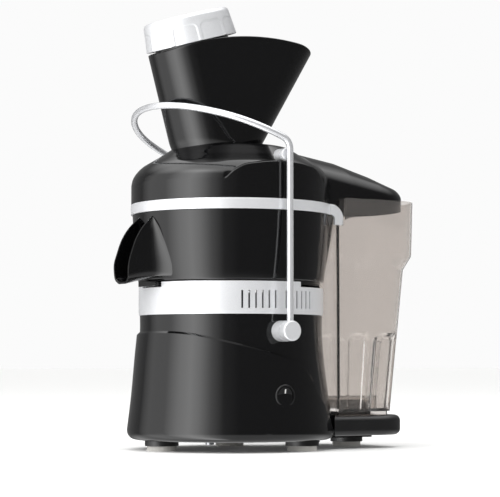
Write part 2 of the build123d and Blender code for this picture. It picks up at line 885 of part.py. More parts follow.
def box_outline(row, wall):
    """The container from above at one level, straight-fronted."""
    level, half, rear = row
    with BuildSketch(Plane.XY.offset(level)) as outline:
        with Locations((0, (50 + rear - wall) / 2)):
            Rectangle(2 * (half - wall), rear - wall - 50)
        fillet(outline.vertices().group_by(Axis.Y)[-1], radius=42 - wall)
    return outline.sketch


def box_solid(wall, floor):
    """The container's outer or inner solid, with its concave front."""
    rows = [(box_rows[0][0] + floor, *box_rows[0][1:])] + box_rows[1:]
    with BuildPart() as solid:
        loft([box_outline(row, wall) for row in rows], ruled=True)
        with BuildSketch(Plane.XY.offset(20)):
            Circle(box_front_radius + wall)
        extrude(amount=250, mode=Mode.SUBTRACT)
    return solid.part


with BuildPart() as pulp_container:
    add(box_solid(0, 0))
    add(box_solid(box_wall, 2.5), mode=Mode.SUBTRACT)
    with BuildSketch(Plane.XY.offset(box_bottom)):
        with Locations((0, 133)):
            Rectangle(35, 71)
        Circle(box_front_radius, mode=Mode.SUBTRACT)
    extrude(amount=15)
    with BuildSketch(Plane.XY.offset(box_bottom - 1)):
        with Locations((0, 127)):
            Rectangle(30.4, 79)
    extrude(amount=14, mode=Mode.SUBTRACT)
    with BuildSketch(Plane.XY.offset(222)):
        with Locations((0, 60)):
            Rectangle(200, 60)
        Circle(box_front_radius + 2.5)
    extrude(amount=40, mode=Mode.SUBTRACT)
    with BuildSketch(Plane.XY.offset(platform_top)):
        with Locations((45, 128), (-45, 128)):
            Rectangle(3, 60)
    extrude(amount=box_bottom - platform_top)

# ---------------------------------------------------------------- locking arm


def loop_point(across, along):
    """A point of the arm's front loop, in its own sloping plane."""
    slope = radians(loop_rise)
    level = loop_level + loop_start * tan(slope) + along * sin(slope)
    return (across, -loop_start - along * cos(slope), level)


def loop_half(side):
    """The corner and the two arcs of one half of the loop: start, middle and end of each."""
    bend = radians(45)
    reach = leg_reach - side_arc
    front_arc = side_arc + reach / cos(bend)
    low = -reach * tan(bend)
    points = [loop_point(side * leg_reach, 0)]
    for part in (0.5, 1):
        points.append(loop_point(side * (reach + side_arc * cos(bend * part)), side_arc * sin(bend * part)))
    points += [loop_point(side * front_arc * sin(bend / 2), low + front_arc * cos(bend / 2))]
    points += [loop_point(0, low + front_arc)]
    return points


turn = radians(90 - loop_rise)
tangent = corner_radius * tan(turn / 2)
corner_top = (0, -tangent * cos(radians(loop_rise)), loop_level + tangent * sin(radians(loop_rise)))
corner_mid = (
    0,
    -corner_radius * (1 - cos(turn / 2)),
    loop_level - tangent + corner_radius * sin(turn / 2),
)

with BuildPart() as locking_arm:
    with BuildLine() as wire_path:
        right, left = loop_half(1), loop_half(-1)
        Line((leg_reach, 0, 112.5), (leg_reach, 0, loop_level - tangent))
        ThreePointArc(
            (leg_reach, 0, loop_level - tangent), (leg_reach, *corner_mid[1:]), (leg_reach, *corner_top[1:])
        )
        Line((leg_reach, *corner_top[1:]), right[0])
        ThreePointArc(right[0], right[1], right[2])
        ThreePointArc(right[2], right[3], right[4])
        ThreePointArc(left[4], left[3], left[2])
        ThreePointArc(left[2], left[1], left[0])
        Line(left[0], (-leg_reach, *corner_top[1:]))
        ThreePointArc(
            (-leg_reach, *corner_top[1:]), (-leg_reach, *corner_mid[1:]), (-leg_reach, 0, loop_level - tangent)
        )
        Line((-leg_reach, 0, loop_level - tangent), (-leg_reach, 0, 112.5))
    with BuildSketch(Plane.XY.offset(112.5)):
        with Locations((leg_reach, 0)):
            Circle(wire_radius)
    sweep(path=wire_path.wires()[0])

for name, side in (("arm_knuckle_right", 1), ("arm_knuckle_left", -1)):
    with BuildPart() as knuckle:
        with BuildSketch(Plane.YZ.offset(side * 103.3)):
            with Locations((0, pivot_height)):
                Circle(9.75)
        extrude(amount=side * 9.7)
        fillet(knuckle.faces().sort_by(Axis.X)[-1 if side > 0 else 0].edges(), radius=1.6)
        with BuildSketch(Plane.XY.offset(112.5)):
            with Locations((side * leg_reach, 0)):
                Circle(wire_radius + 0.02)
        extrude(amount=20, mode=Mode.SUBTRACT)
        with BuildSketch(Plane.YZ.offset(side * 100)):
            with Locations((0, pivot_height)):
                Circle(4.02)
        extrude(amount=side * 4.7, mode=Mode.SUBTRACT)
    save(name, knuckle)

with BuildPart() as arm_axles:
    for side in (1, -1):
        with BuildSketch(Plane.YZ.offset(side * 78)):
            with Locations((0, pivot_height)):
                Circle(4)
        extrude(amount=side * 26.6)

with BuildPart() as interlock_magnet:
    with BuildSketch(Plane.YZ.offset(72)):
        with Locations((0, pivot_height)):
            Circle(7)
    extrude(amount=6)

with BuildPart() as axle_clip:
    with BuildSketch(Plane.YZ.offset(-78)):
        with Locations((0, pivot_height)):
            Circle(6.5)
    extrude(amount=2)

pieces = {
    "base_tray": base_tray,
    "motor_housing": motor_housing,
    "front_skirt": front_skirt,
    "pulp_platform": pulp_platform,
    "platform_rail": platform_rail,
    "foot_collars": foot_collars,
    "foot_pads": foot_pads,
    "base_screws": base_screws,
    "vent_band": vent_band,
    "motor_deck": motor_deck,
    "switch_body": switch_body,
    "switch_bezel": switch_bezel,
    "switch_rocker": switch_rocker,
    "stator_core": stator_core,
    "field_windings": field_windings,
    "armature_core": armature_core,
    "armature_windings": armature_windings,
    "commutator": commutator,
    "motor_shaft": motor_shaft,
    "motor_bottom_bracket": motor_bottom_bracket,
    "motor_top_bracket": motor_top_bracket,
    "brush_holders": brush_holders,
    "carbon_brushes": carbon_brushes,
    "brush_springs": brush_springs,
    "cooling_fan": cooling_fan,
    "rubber_mounts": rubber_mounts,
    "motor_screws": motor_screws,
    "capacitor": capacitor,
    "terminal_block": terminal_block,
    "cord_inlet_gland": cord_inlet_gland,
    "interlock_switch": interlock_switch,
    "interlock_magnet": interlock_magnet,
    "axle_clip": axle_clip,
    "arm_axles": arm_axles,
    "locking_arm": locking_arm,
    "drive_coupling": drive_coupling,
    "shaft_seal": shaft_seal,
    "filter_basket": filter_basket,
    "grater_disc": grater_disc,
    "basket_screws": basket_screws,
    "juice_bowl": juice_bowl,
    "trim_ring": trim_ring,
    "lid": lid,
    "lid_gasket": lid_gasket,
    "feed_hopper": feed_hopper,
    "pusher_body": pusher_body,
    "pusher_cap": pusher_cap,
    "pulp_container": pulp_container,
}
for name, piece in pieces.items():
    save(name, piece)
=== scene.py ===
# Centrifugal juicer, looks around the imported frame. Metres, +Z up, -Y is the spout side, +X the switch side.
import json
import bmesh
import bpy
import numpy as np
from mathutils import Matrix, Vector


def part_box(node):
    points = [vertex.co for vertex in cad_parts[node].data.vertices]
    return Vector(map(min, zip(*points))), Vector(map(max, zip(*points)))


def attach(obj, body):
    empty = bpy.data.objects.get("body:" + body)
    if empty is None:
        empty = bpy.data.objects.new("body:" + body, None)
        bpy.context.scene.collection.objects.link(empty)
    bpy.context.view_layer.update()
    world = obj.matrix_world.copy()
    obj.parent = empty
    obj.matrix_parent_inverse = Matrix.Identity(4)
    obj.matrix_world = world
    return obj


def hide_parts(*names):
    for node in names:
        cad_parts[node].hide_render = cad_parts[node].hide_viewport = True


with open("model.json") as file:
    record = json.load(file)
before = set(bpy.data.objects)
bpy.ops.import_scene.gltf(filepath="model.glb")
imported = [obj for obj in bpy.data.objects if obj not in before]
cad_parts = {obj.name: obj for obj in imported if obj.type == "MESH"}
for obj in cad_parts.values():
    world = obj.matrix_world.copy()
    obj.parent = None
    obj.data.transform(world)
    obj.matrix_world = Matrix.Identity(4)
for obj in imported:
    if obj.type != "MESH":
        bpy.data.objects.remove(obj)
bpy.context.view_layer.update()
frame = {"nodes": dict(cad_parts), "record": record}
mm = 0.001
bandLow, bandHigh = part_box("vent_band")
axisY = (bandLow[1] + bandHigh[1]) / 2  # the drive axis; every shape below is worked out round it, in mm
print("frame loaded:", len(frame["nodes"]), "nodes")


# a long lens, low and well back
cameraSetup = {
    "azimuth": 58.5,  # degrees round from straight in front, towards the switch side
    "distance": 1.94,
    "eye": 0.0845,  # a low eye, near the height of the base's waist
    "aimHeight": 0.2,
    "aimSide": 0.019,
    "lens": 139.7,
}


def addCamera(setup):
    turn = np.radians(setup["azimuth"])
    towards = Vector((np.sin(turn), -np.cos(turn), 0))
    right = Vector((np.cos(turn), np.sin(turn), 0))
    data = bpy.data.cameras.new("camera")
    data.lens = setup["lens"]
    data.clip_start = 0.05
    camera = bpy.data.objects.new("camera", data)
    bpy.context.scene.collection.objects.link(camera)
    camera.location = towards * setup["distance"] + Vector((0, axisY, setup["eye"]))
    aim = right * setup["aimSide"] + Vector((0, axisY, setup["aimHeight"]))
    camera.rotation_euler = (aim - camera.location).to_track_quat("-Z", "Y").to_euler()
    bpy.context.scene.camera = camera


addCamera(cameraSetup)
print("camera placed")


# materials: each is named for what it's made of, and a note says what that gives the eye
def linear(hexCode):
    # sRGB hex to linear colour
    srgb = np.array([int(hexCode[i:i + 2], 16) for i in (1, 3, 5)]) / 255
    rgb = np.where(srgb <= 0.04045, srgb / 12.92, ((srgb + 0.055) / 1.055) ** 2.4)
    return (*rgb.tolist(), 1.0)


def addNode(tree, kind, links=None, **settings):
    # one node: settings whose name is an input go to that socket, the rest to the node itself
    node = tree.nodes.new("ShaderNode" + kind)
    for name, value in settings.items():
        if hasattr(node, name):
            setattr(node, name, value)
        else:
            node.inputs[name.replace("_", " ")].default_value = value
    for socket, source in (links or {}).items():
        tree.links.new(source, node.inputs[socket])
    return node


def newMaterial(name, **sockets):
    material = bpy.data.materials.new(name)
    material.use_nodes = True
    tree = material.node_tree
    shader = tree.nodes["Principled BSDF"]
    for socket, value in sockets.items():
        shader.inputs[socket.replace("_", " ")].default_value = value
    material.diffuse_color = sockets.get("Base_Color", (0.5, 0.5, 0.5, 1))
    return material, tree, shader


def surfaceDetail(tree, shader, setup):
    # moulded skin: fine grain in the bump, broad handling marks in the roughness
    place = addNode(tree, "TexCoord")
    grain = addNode(tree, "TexNoise", {"Vector": place.outputs["Object"]},
                    Scale=1000 / setup["grain"], Detail=3.0)
    wave = addNode(tree, "TexNoise", {"Vector": place.outputs["Object"]},
                   Scale=1000 / setup["marks"], Detail=4.0, Roughness=0.55)
    gloss = addNode(tree, "MapRange", {"Value": wave.outputs["Fac"]}, From_Min=0.3, From_Max=0.7,
                    To_Min=setup["smooth"], To_Max=setup["dull"])
    fine = addNode(tree, "Bump", {"Height": grain.outputs["Fac"]}, Strength=setup["bump"], Distance=0.0002)
    tree.links.new(gloss.outputs["Result"], shader.inputs["Roughness"])
    tree.links.new(fine.outputs["Normal"], shader.inputs["Normal"])
    return place, wave


def glossyAbs():
    # injection-moulded ABS from a polished tool: deep black with a clear gloss and faint swirl marks
    material, tree, shader = newMaterial("mouldedGlossAbs", Base_Color=linear("#070708"), IOR=1.53)
    surfaceDetail(tree, shader, {"grain": 1.2, "marks": 28, "smooth": 0.05, "dull": 0.1, "bump": 0.012})
    return material


def satinAbs():
    # ABS from a fine-etched tool: softer, greyer highlights
    material, tree, shader = newMaterial("etchedSatinAbs", Base_Color=linear("#131314"), IOR=1.53)
    surfaceDetail(tree, shader, {"grain": 0.7, "marks": 22, "smooth": 0.32, "dull": 0.42, "bump": 0.12})
    return material


def silverPaint():
    # satin silver lacquer over ABS: tiny flakes under a soft clear coat
    material, tree, shader = newMaterial("silverLacquer", Base_Color=linear("#e0e1e3"), Metallic=0.4,
                                         Coat_Weight=0.3, Coat_Roughness=0.25)
    place, wave = surfaceDetail(tree, shader, {"grain": 0.5, "marks": 18, "smooth": 0.3, "dull": 0.38, "bump": 0.05})
    flake = addNode(tree, "TexVoronoi", {"Vector": place.outputs["Object"]}, Scale=2200.0)
    tone = addNode(tree, "Mix", {"Factor": flake.outputs["Distance"]}, data_type="RGBA")
    tone.inputs["A"].default_value = linear("#e8e9eb")
    tone.inputs["B"].default_value = linear("#d4d5d8")
    tree.links.new(tone.outputs["Result"], shader.inputs["Base Color"])
    return material


def polishedSteel():
    # drawn and polished steel wire: bright, with faint lengthwise drawing lines
    material, tree, shader = newMaterial("polishedSteel", Base_Color=linear("#e4e5e8"), Metallic=0.62)
    surfaceDetail(tree, shader, {"grain": 0.8, "marks": 12, "smooth": 0.14, "dull": 0.22, "bump": 0.03})
    return material


def greyRubber():
    # moulded rubber: matt, dusty
    material, tree, shader = newMaterial("greyRubber", Base_Color=linear("#b9b7b3"))
    surfaceDetail(tree, shader, {"grain": 0.6, "marks": 9, "smooth": 0.7, "dull": 0.85, "bump": 0.25})
    return material


def blackRubber():
    # moulded nitrile rubber
    material, tree, shader = newMaterial("blackRubber", Base_Color=linear("#1a1a1a"))
    surfaceDetail(tree, shader, {"grain": 0.6, "marks": 9, "smooth": 0.55, "dull": 0.7, "bump": 0.2})
    return material


def smokyPolycarbonate():
    # clear tinted polycarbonate: the smoke shows deeper where the wall is seen edge on
    material, tree, shader = newMaterial("smokyPolycarbonate", Base_Color=linear("#dfdad6"), IOR=1.45,
                                         Transmission_Weight=0.97)
    surfaceDetail(tree, shader, {"grain": 3, "marks": 30, "smooth": 0.04, "dull": 0.1, "bump": 0.01})
    return material


def turnedSteel():
    # machined steel: fine turning lines
    material, tree, shader = newMaterial("turnedSteel", Base_Color=linear("#a9abae"), Metallic=1.0)
    surfaceDetail(tree, shader, {"grain": 0.3, "marks": 8, "smooth": 0.28, "dull": 0.4, "bump": 0.1})
    return material


def etchedStainless():
    # etched stainless sheet, lightly burnished
    material, tree, shader = newMaterial("etchedStainless", Base_Color=linear("#c2c3c4"), Metallic=1.0)
    surfaceDetail(tree, shader, {"grain": 0.8, "marks": 15, "smooth": 0.22, "dull": 0.35, "bump": 0.15})
    return material


def stackedLaminations():
    # silicon-steel sheets, 0.5 mm thick, varnished: thin rings up the stack
    material, tree, shader = newMaterial("stackedLaminations", Base_Color=linear("#57585c"), Metallic=0.8)
    place, wave = surfaceDetail(tree, shader, {"grain": 0.5, "marks": 9, "smooth": 0.4, "dull": 0.5, "bump": 0.1})
    sheets = addNode(tree, "TexWave", {"Vector": place.outputs["Object"]}, bands_direction="Z", Scale=320.0)
    tone = addNode(tree, "Mix", {"Factor": sheets.outputs["Fac"]}, data_type="RGBA")
    tone.inputs["A"].default_value = linear("#3e3f42")
    tone.inputs["B"].default_value = linear("#6a6b70")
    tree.links.new(tone.outputs["Result"], shader.inputs["Base Color"])
    return material


def enamelledCopper():
    # wound copper wire, 0.6 mm, under amber enamel
    material, tree, shader = newMaterial("enamelledCopper", Base_Color=linear("#b4632f"), Metallic=0.9)
    place, wave = surfaceDetail(tree, shader, {"grain": 0.6, "marks": 6, "smooth": 0.28, "dull": 0.4, "bump": 0.15})
    turns = addNode(tree, "TexWave", {"Vector": place.outputs["Object"]}, bands_direction="Z", Scale=260.0)
    tone = addNode(tree, "Mix", {"Factor": turns.outputs["Fac"]}, data_type="RGBA")
    tone.inputs["A"].default_value = linear("#7c3c18")
    tone.inputs["B"].default_value = linear("#c97a3f")
    tree.links.new(tone.outputs["Result"], shader.inputs["Base Color"])
    return material


def pressedCarbon():
    # pressed carbon brush
    material, tree, shader = newMaterial("pressedCarbon", Base_Color=linear("#1d1d1e"))
    surfaceDetail(tree, shader, {"grain": 0.4, "marks": 5, "smooth": 0.5, "dull": 0.7, "bump": 0.2})
    return material


def mouldedNylon():
    # natural nylon, slightly waxy
    material, tree, shader = newMaterial("mouldedNylon", Base_Color=linear("#d9d4c4"), IOR=1.53,
                                         Subsurface_Weight=0.1)
    surfaceDetail(tree, shader, {"grain": 0.8, "marks": 12, "smooth": 0.38, "dull": 0.5, "bump": 0.08})
    return material


def legendInk():
    # pad-printed white legend on the rocker
    material, tree, shader = newMaterial("legendInk", Base_Color=linear("#d8d8d6"))
    surfaceDetail(tree, shader, {"grain": 0.2, "marks": 3, "smooth": 0.45, "dull": 0.6, "bump": 0.1})
    return material


finishes = {
    "gloss_black": glossyAbs(),
    "satin_black": satinAbs(),
    "silver_trim": silverPaint(),
    "polished_steel": polishedSteel(),
    "switch_black": satinAbs(),
    "foot_rubber": greyRubber(),
    "black_rubber": blackRubber(),
    "smoky_clear": smokyPolycarbonate(),
    "steel": turnedSteel(),
    "stainless": etchedStainless(),
    "lamination": stackedLaminations(),
    "copper": enamelledCopper(),
    "carbon": pressedCarbon(),
    "nylon": mouldedNylon(),
}
for entry in frame["record"]["subparts"]:
    nodeObject = frame["nodes"][entry["node"]]
    nodeObject.data.materials.clear()
    nodeObject.data.materials.append(finishes[entry["material_slot"]])
print("materials made:", len(bpy.data.materials))


# shape helpers, all in mm
def through(knots, where):
    # smooth curve through rows of (position, values), Hermite pieces with slopes taken from the neighbours
    table = np.array(knots, float)
    x, y = table[:, 0], table[:, 1:]
    slope = np.gradient(y, x, axis=0)
    where = np.clip(np.asarray(where, float), x[0], x[-1])
    i = np.clip(np.searchsorted(x, where, side="right") - 1, 0, len(x) - 2)
    gap = (x[i + 1] - x[i])[..., None]
    t = (where - x[i])[..., None] / gap
    return ((2 * t**3 - 3 * t**2 + 1) * y[i] + (t**3 - 2 * t**2 + t) * gap * slope[i]
            + (3 * t**2 - 2 * t**3) * y[i + 1] + (t**3 - t**2) * gap * slope[i + 1])


def step(low, high, value):
    # 0 below low, 1 above high, smooth between
    t = np.clip((value - low) / (high - low), 0, 1)
    return t * t * (3 - 2 * t)


def rounded(outline, steps=6):
    # closed outline of (a, b, cut): each corner becomes a parabola from cut before it to cut after it
    table = np.array(outline, float)
    corner, cut = table[:, :2], table[:, 2:]
    back, ahead = np.roll(corner, 1, 0) - corner, np.roll(corner, -1, 0) - corner
    backLength = np.linalg.norm(back, axis=1, keepdims=True)
    aheadLength = np.linalg.norm(ahead, axis=1, keepdims=True)
    start = corner + back * np.minimum(cut / backLength, 0.48)
    end = corner + ahead * np.minimum(cut / aheadLength, 0.48)
    t = np.linspace(0, 1, steps)[:, None, None]
    curve = (1 - t) ** 2 * start + 2 * t * (1 - t) * corner + t**2 * end
    return curve.transpose(1, 0, 2).reshape(-1, 2)


def stacked(*parts):
    # x, y and z, each a number or a grid, as one grid of points
    return np.stack(np.broadcast_arrays(*parts), -1)


def around(outline, turns):
    # a closed outline of (radius, height) carried once round the drive axis
    angle = np.linspace(0, 2 * np.pi, turns + 1)[:, None]
    return stacked(outline[:, 0] * np.sin(angle), -outline[:, 0] * np.cos(angle), outline[:, 1])


def ring(grid):
    # rows of closed sections; if the last row is not the first again, both ends get a face
    rows, columns = grid.shape[:2]
    index = np.arange(rows * columns).reshape(rows, columns)
    low, high = index[:-1], index[1:]
    faces = np.stack([low, np.roll(low, -1, 1), np.roll(high, -1, 1), high], -1).reshape(-1, 4).tolist()
    if not np.allclose(grid[0], grid[-1]):
        faces += [index[end].tolist() for end in (0, -1) if np.ptp(grid[end], 0).max() > 1e-3]
    return grid.reshape(-1, 3), faces


def beam(outline, start, end, steps=6):
    # a rounded outline of (x, z) carried straight along y
    flat = rounded(outline, steps)
    return ring(stacked(flat[:, 0], np.array([start, end])[:, None], flat[:, 1]))


def slab(outer, inner):
    # the wall between two open sheets on the same grid, closed along all four edges
    rows, columns = outer.shape[:2]
    index = np.arange(rows * columns).reshape(rows, columns)
    sheet = np.stack([index[:-1, :-1], index[:-1, 1:], index[1:, 1:], index[1:, :-1]], -1).reshape(-1, 4)
    rim = np.concatenate([index[0, :-1], index[:-1, -1], index[-1, :0:-1], index[:0:-1, 0]])
    other = rim + rows * columns
    edge = np.stack([rim, np.roll(rim, -1), np.roll(other, -1), other], -1)
    faces = np.concatenate([sheet, sheet[:, ::-1] + rows * columns, edge]).tolist()
    return np.concatenate([outer.reshape(-1, 3), inner.reshape(-1, 3)]), faces


def makeMesh(name, shapes):
    # shapes are (points in mm from the drive axis, faces); doubles are merged and faces turned outwards
    points, faces, start = [], [], 0
    for shapePoints, shapeFaces in shapes:
        points.append(shapePoints)
        faces += [[start + corner for corner in face] for face in shapeFaces]
        start += len(shapePoints)
    places = np.concatenate(points) * mm + (0, axisY, 0)
    mesh = bpy.data.meshes.new(name)
    mesh.from_pydata(places.tolist(), [], faces)
    work = bmesh.new()
    work.from_mesh(mesh)
    bmesh.ops.remove_doubles(work, verts=work.verts, dist=2e-6)
    bmesh.ops.dissolve_degenerate(work, edges=work.edges, dist=1e-7)
    bmesh.ops.recalc_face_normals(work, faces=work.faces)
    work.to_mesh(mesh)
    work.free()
    piece = bpy.data.objects.new(name, mesh)
    bpy.context.scene.collection.objects.link(piece)
    return piece


def combine(piece, other, operation):
    # exact boolean with another piece, which is used up
    change = piece.modifiers.new("combine", "BOOLEAN")
    change.object, change.operation, change.solver = other, operation, "EXACT"
    depsgraph = bpy.context.evaluated_depsgraph_get()
    mesh = bpy.data.meshes.new_from_object(piece.evaluated_get(depsgraph))
    piece.modifiers.clear()
    piece.data = mesh
    bpy.data.objects.remove(other)


def finishPiece(piece, slotName, body="root", stands=(), crease=35, bevel=None):
    piece.data.materials.clear()
    piece.data.materials.append(finishes[slotName])
    piece.data.shade_smooth()
    piece.data.set_sharp_from_angle(angle=np.radians(crease))
    if bevel:
        soft = piece.modifiers.new("softEdges", "BEVEL")
        soft.width, soft.segments, soft.limit_method, soft.angle_limit = bevel * mm, 2, "ANGLE", np.radians(50)
    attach(piece, body)
    if stands:
        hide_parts(*stands)


# floor and light
stageSetup = {
    "backdrop": "#fbfbfb",
    "ceiling": 2.6,  # brightness overhead, as gloss sees it
    "room": 0.02,  # brightness of the dark side of the room, as gloss sees it
    "ground": 0.7,  # brightness straight below, as gloss sees it
    # the softbox stands in front of the spout: share of a full turn, brightness
    "softbox": [(0.0, 0.03), (0.32, 0.05), (0.37, 0.24), (0.44, 0.32), (0.49, 0.72), (0.53, 0.9),
                (0.56, 0.72), (0.6, 0.3), (0.64, 0.07), (0.69, 0.03)],
    "softboxPower": 4.3,
}


def glossOnly(tree):
    # 1 for a mirror ray, 0 for one that came through clear plastic
    ray = addNode(tree, "LightPath")
    mirrored = addNode(tree, "Math", {1: ray.outputs["Is Transmission Ray"]}, operation="SUBTRACT")
    mirrored.inputs[0].default_value = 1
    return addNode(tree, "Math", {0: ray.outputs["Is Glossy Ray"], 1: mirrored.outputs[0]},
                   operation="MULTIPLY").outputs[0]


def addStage(setup):
    # a seamless pale sweep, far larger than the object
    bpy.ops.mesh.primitive_plane_add(size=60)
    floor = bpy.context.object
    floor.name = "floor"
    material, tree, shader = newMaterial("paleFloor", Base_Color=linear("#fafaf9"), Roughness=0.7,
                                         Specular_IOR_Level=0.1)
    # gloss looks through the sweep to the world, so no horizon shows in it
    clear = addNode(tree, "BsdfTransparent")
    seen = addNode(tree, "MixShader", {"Fac": glossOnly(tree)})
    tree.links.new(shader.outputs["BSDF"], seen.inputs[1])
    tree.links.new(clear.outputs["BSDF"], seen.inputs[2])
    tree.links.new(seen.outputs["Shader"], tree.nodes["Material Output"].inputs["Surface"])
    floor.data.materials.append(material)


def addLight(name, place, aim, size, power):
    data = bpy.data.lights.new(name, "AREA")
    data.shape = "RECTANGLE"
    data.size, data.size_y = size
    data.energy = power
    lamp = bpy.data.objects.new(name, data)
    bpy.context.scene.collection.objects.link(lamp)
    lamp.location = place
    lamp.rotation_euler = (Vector(aim) - Vector(place)).to_track_quat("-Z", "Y").to_euler()
    lamp.visible_glossy = False  # its shape in the gloss comes from the world's softbox


def addWorld(setup):
    # white to the eye and to matt surfaces; gloss sees a dark room, a softbox in front and a bright ceiling
    world = bpy.data.worlds.new("studio")
    world.use_nodes = True
    tree = world.node_tree
    white = tree.nodes["Background"]
    white.inputs["Color"].default_value = linear(setup["backdrop"])
    way = addNode(tree, "SeparateXYZ", {"Vector": addNode(tree, "TexCoord").outputs["Generated"]})
    front = addNode(tree, "Math", {0: way.outputs["Y"]}, operation="MULTIPLY")
    front.inputs[1].default_value = -1
    turn = addNode(tree, "Math", {0: way.outputs["X"], 1: front.outputs[0]}, operation="ARCTAN2")
    share = addNode(tree, "MapRange", {"Value": turn.outputs[0]}, From_Min=-np.pi, From_Max=np.pi)
    box = addNode(tree, "ValToRGB", {"Fac": share.outputs["Result"]})
    stops = box.color_ramp.elements
    while len(stops) < len(setup["softbox"]):
        stops.new(0.5)
    for stop, (place, bright) in zip(stops, setup["softbox"]):
        stop.position = place
        stop.color = (bright, bright, bright, 1)
    high = addNode(tree, "MapRange", {"Value": way.outputs["Z"]}, interpolation_type="SMOOTHSTEP",
                   From_Min=0.95, From_Max=0.75)
    lit = addNode(tree, "Math", {0: box.outputs["Color"], 1: high.outputs["Result"]}, operation="MULTIPLY")
    ceiling = addNode(tree, "MapRange", {"Value": way.outputs["Z"]}, interpolation_type="SMOOTHSTEP",
                      From_Min=0.45, From_Max=0.95, To_Min=setup["room"], To_Max=setup["ceiling"])
    total = addNode(tree, "Math", {0: lit.outputs[0], 2: ceiling.outputs["Result"]}, operation="MULTIPLY_ADD")
    total.inputs[1].default_value = setup["softboxPower"]
    ground = addNode(tree, "MapRange", {"Value": way.outputs["Z"]}, interpolation_type="SMOOTHSTEP",
                     From_Min=-0.2, From_Max=-0.5, To_Max=setup["ground"])
    allRound = addNode(tree, "Math", {0: total.outputs[0], 1: ground.outputs["Result"]}, operation="ADD")
    gloss = addNode(tree, "Background", {"Strength": allRound.outputs[0]}, Color=(1, 1, 1, 1))
    mix = addNode(tree, "MixShader", {"Fac": glossOnly(tree)})
    tree.links.new(white.outputs["Background"], mix.inputs[1])
    tree.links.new(gloss.outputs["Background"], mix.inputs[2])
    tree.links.new(mix.outputs["Shader"], tree.nodes["World Output"].inputs["Surface"])
    bpy.context.scene.world = world


addStage(stageSetup)
addWorld(stageSetup)
addLight("frontSoftbox", (0.3, -2.2, 0.9), (0, 0, 0.2), (1.2, 1.7), 30)
addLight("topSoftbox", (0.3, -0.2, 2.4), (0, 0, 0.1), (2.2, 2.2), 26)
bpy.context.scene.view_settings.view_transform = "Standard"
print("stage lit")


# the bowl and its spout
bowlSetup = {
    "section": [(21, 165, 0.5), (92.5, 165, 2), (94.5, 180, 6), (97, 205, 8), (98.6, 232.4, 0.3), (96.2, 232.4, 0.3),
                (94.6, 205, 8), (92.1, 180, 6), (89.5, 167.6, 2), (27, 167.6, 0.5), (26, 185, 0.6), (20, 185, 0.6)],
    "ductHalf": (57.5, 65.5),  # the rear duct's half-width, low and high
    "ductProud": (1.1, 6.8),
    "ductLevels": (188, 232.5),
    "wallLevels": (165, 180, 205, 232.5),
    "wallMiddle": (91, 93.3, 95.8, 97.4),  # radius halfway through the wall
    "wallOutside": (92.5, 94.5, 97, 98.6),
    # the spout, by share of the way from its floor's middle up to its top edge:
    # half-width, distance in front of the axis, level
    "root": [(0, 0, 91, 168.3), (0.2, 27, 89, 168.3), (0.3, 37.5, 84.6, 169.6), (0.4, 40, 83.5, 177),
             (0.6, 37.6, 86.3, 194), (0.75, 33, 89.4, 206), (0.9, 25.6, 92.9, 219), (1, 15, 95.6, 230)],
    "bend": [(0, 0, 99, 168.5), (0.2, 11.5, 99, 168.7), (0.3, 15.6, 98.5, 171.5), (0.4, 17.4, 98, 178.5),
             (0.6, 17.2, 98, 194), (0.75, 16.4, 98, 206), (0.9, 14.8, 97.8, 219), (1, 13.6, 96, 230)],
    "lip": [(0, 0, 123.2, 161.7), (0.2, 9.6, 123.4, 162.8), (0.3, 14, 124.2, 167), (0.4, 15.5, 124.6, 177),
            (0.6, 15.5, 121.6, 191), (0.75, 15.3, 115.6, 206.5), (0.9, 14.8, 106, 220), (1, 13.8, 95.6, 229.6)],
    "lipHalf": 15.5,
    "pull": 1.7,  # how hard the bend draws the wall in
    "sunk": 1.2,  # how far the root reaches into the bowl's wall
    "insideEnd": 82,  # how near the axis the spout's inside runs back to
    "wall": 2.0,
    "mouth": [(11.6, 170.5, 3), (11.6, 222, 6), (-11.6, 222, 6), (-11.6, 170.5, 3)],
    "mouthReach": (-80, -104),
    "catch": [(-92.6, 159.8, 0.8), (-96.2, 159.8, 0.8), (-96.2, 165.4, 0.8), (-92.6, 165.4, 0.8)],
    "catchHalf": 17,
}


def bowlShell(setup):
    # the section carried round the axis, with the duct's bulge where the outer wall lies between its sides
    section = rounded(setup["section"])
    grid = around(section, 240)
    radius, level = section[:, 0], section[:, 1]
    low, high = setup["ductLevels"]
    up = np.clip((level - low) / (high - low), 0, 1)
    half = setup["ductHalf"][0] + up * (setup["ductHalf"][1] - setup["ductHalf"][0])
    proud = (setup["ductProud"][0] + up * (setup["ductProud"][1] - setup["ductProud"][0])) * step(176, low, level)
    outside = radius > np.interp(level, setup["wallLevels"], setup["wallMiddle"])
    inDuct = (1 - step(half - 2.5, half + 0.5, np.abs(grid[..., 0]))) * (grid[..., 1] > 0)
    grow = 1 + proud * outside * inDuct / radius
    grid[..., 0] *= np.where(inDuct > 0.5, 1, grow)
    grid[..., 1] *= grow
    return ring(grid)


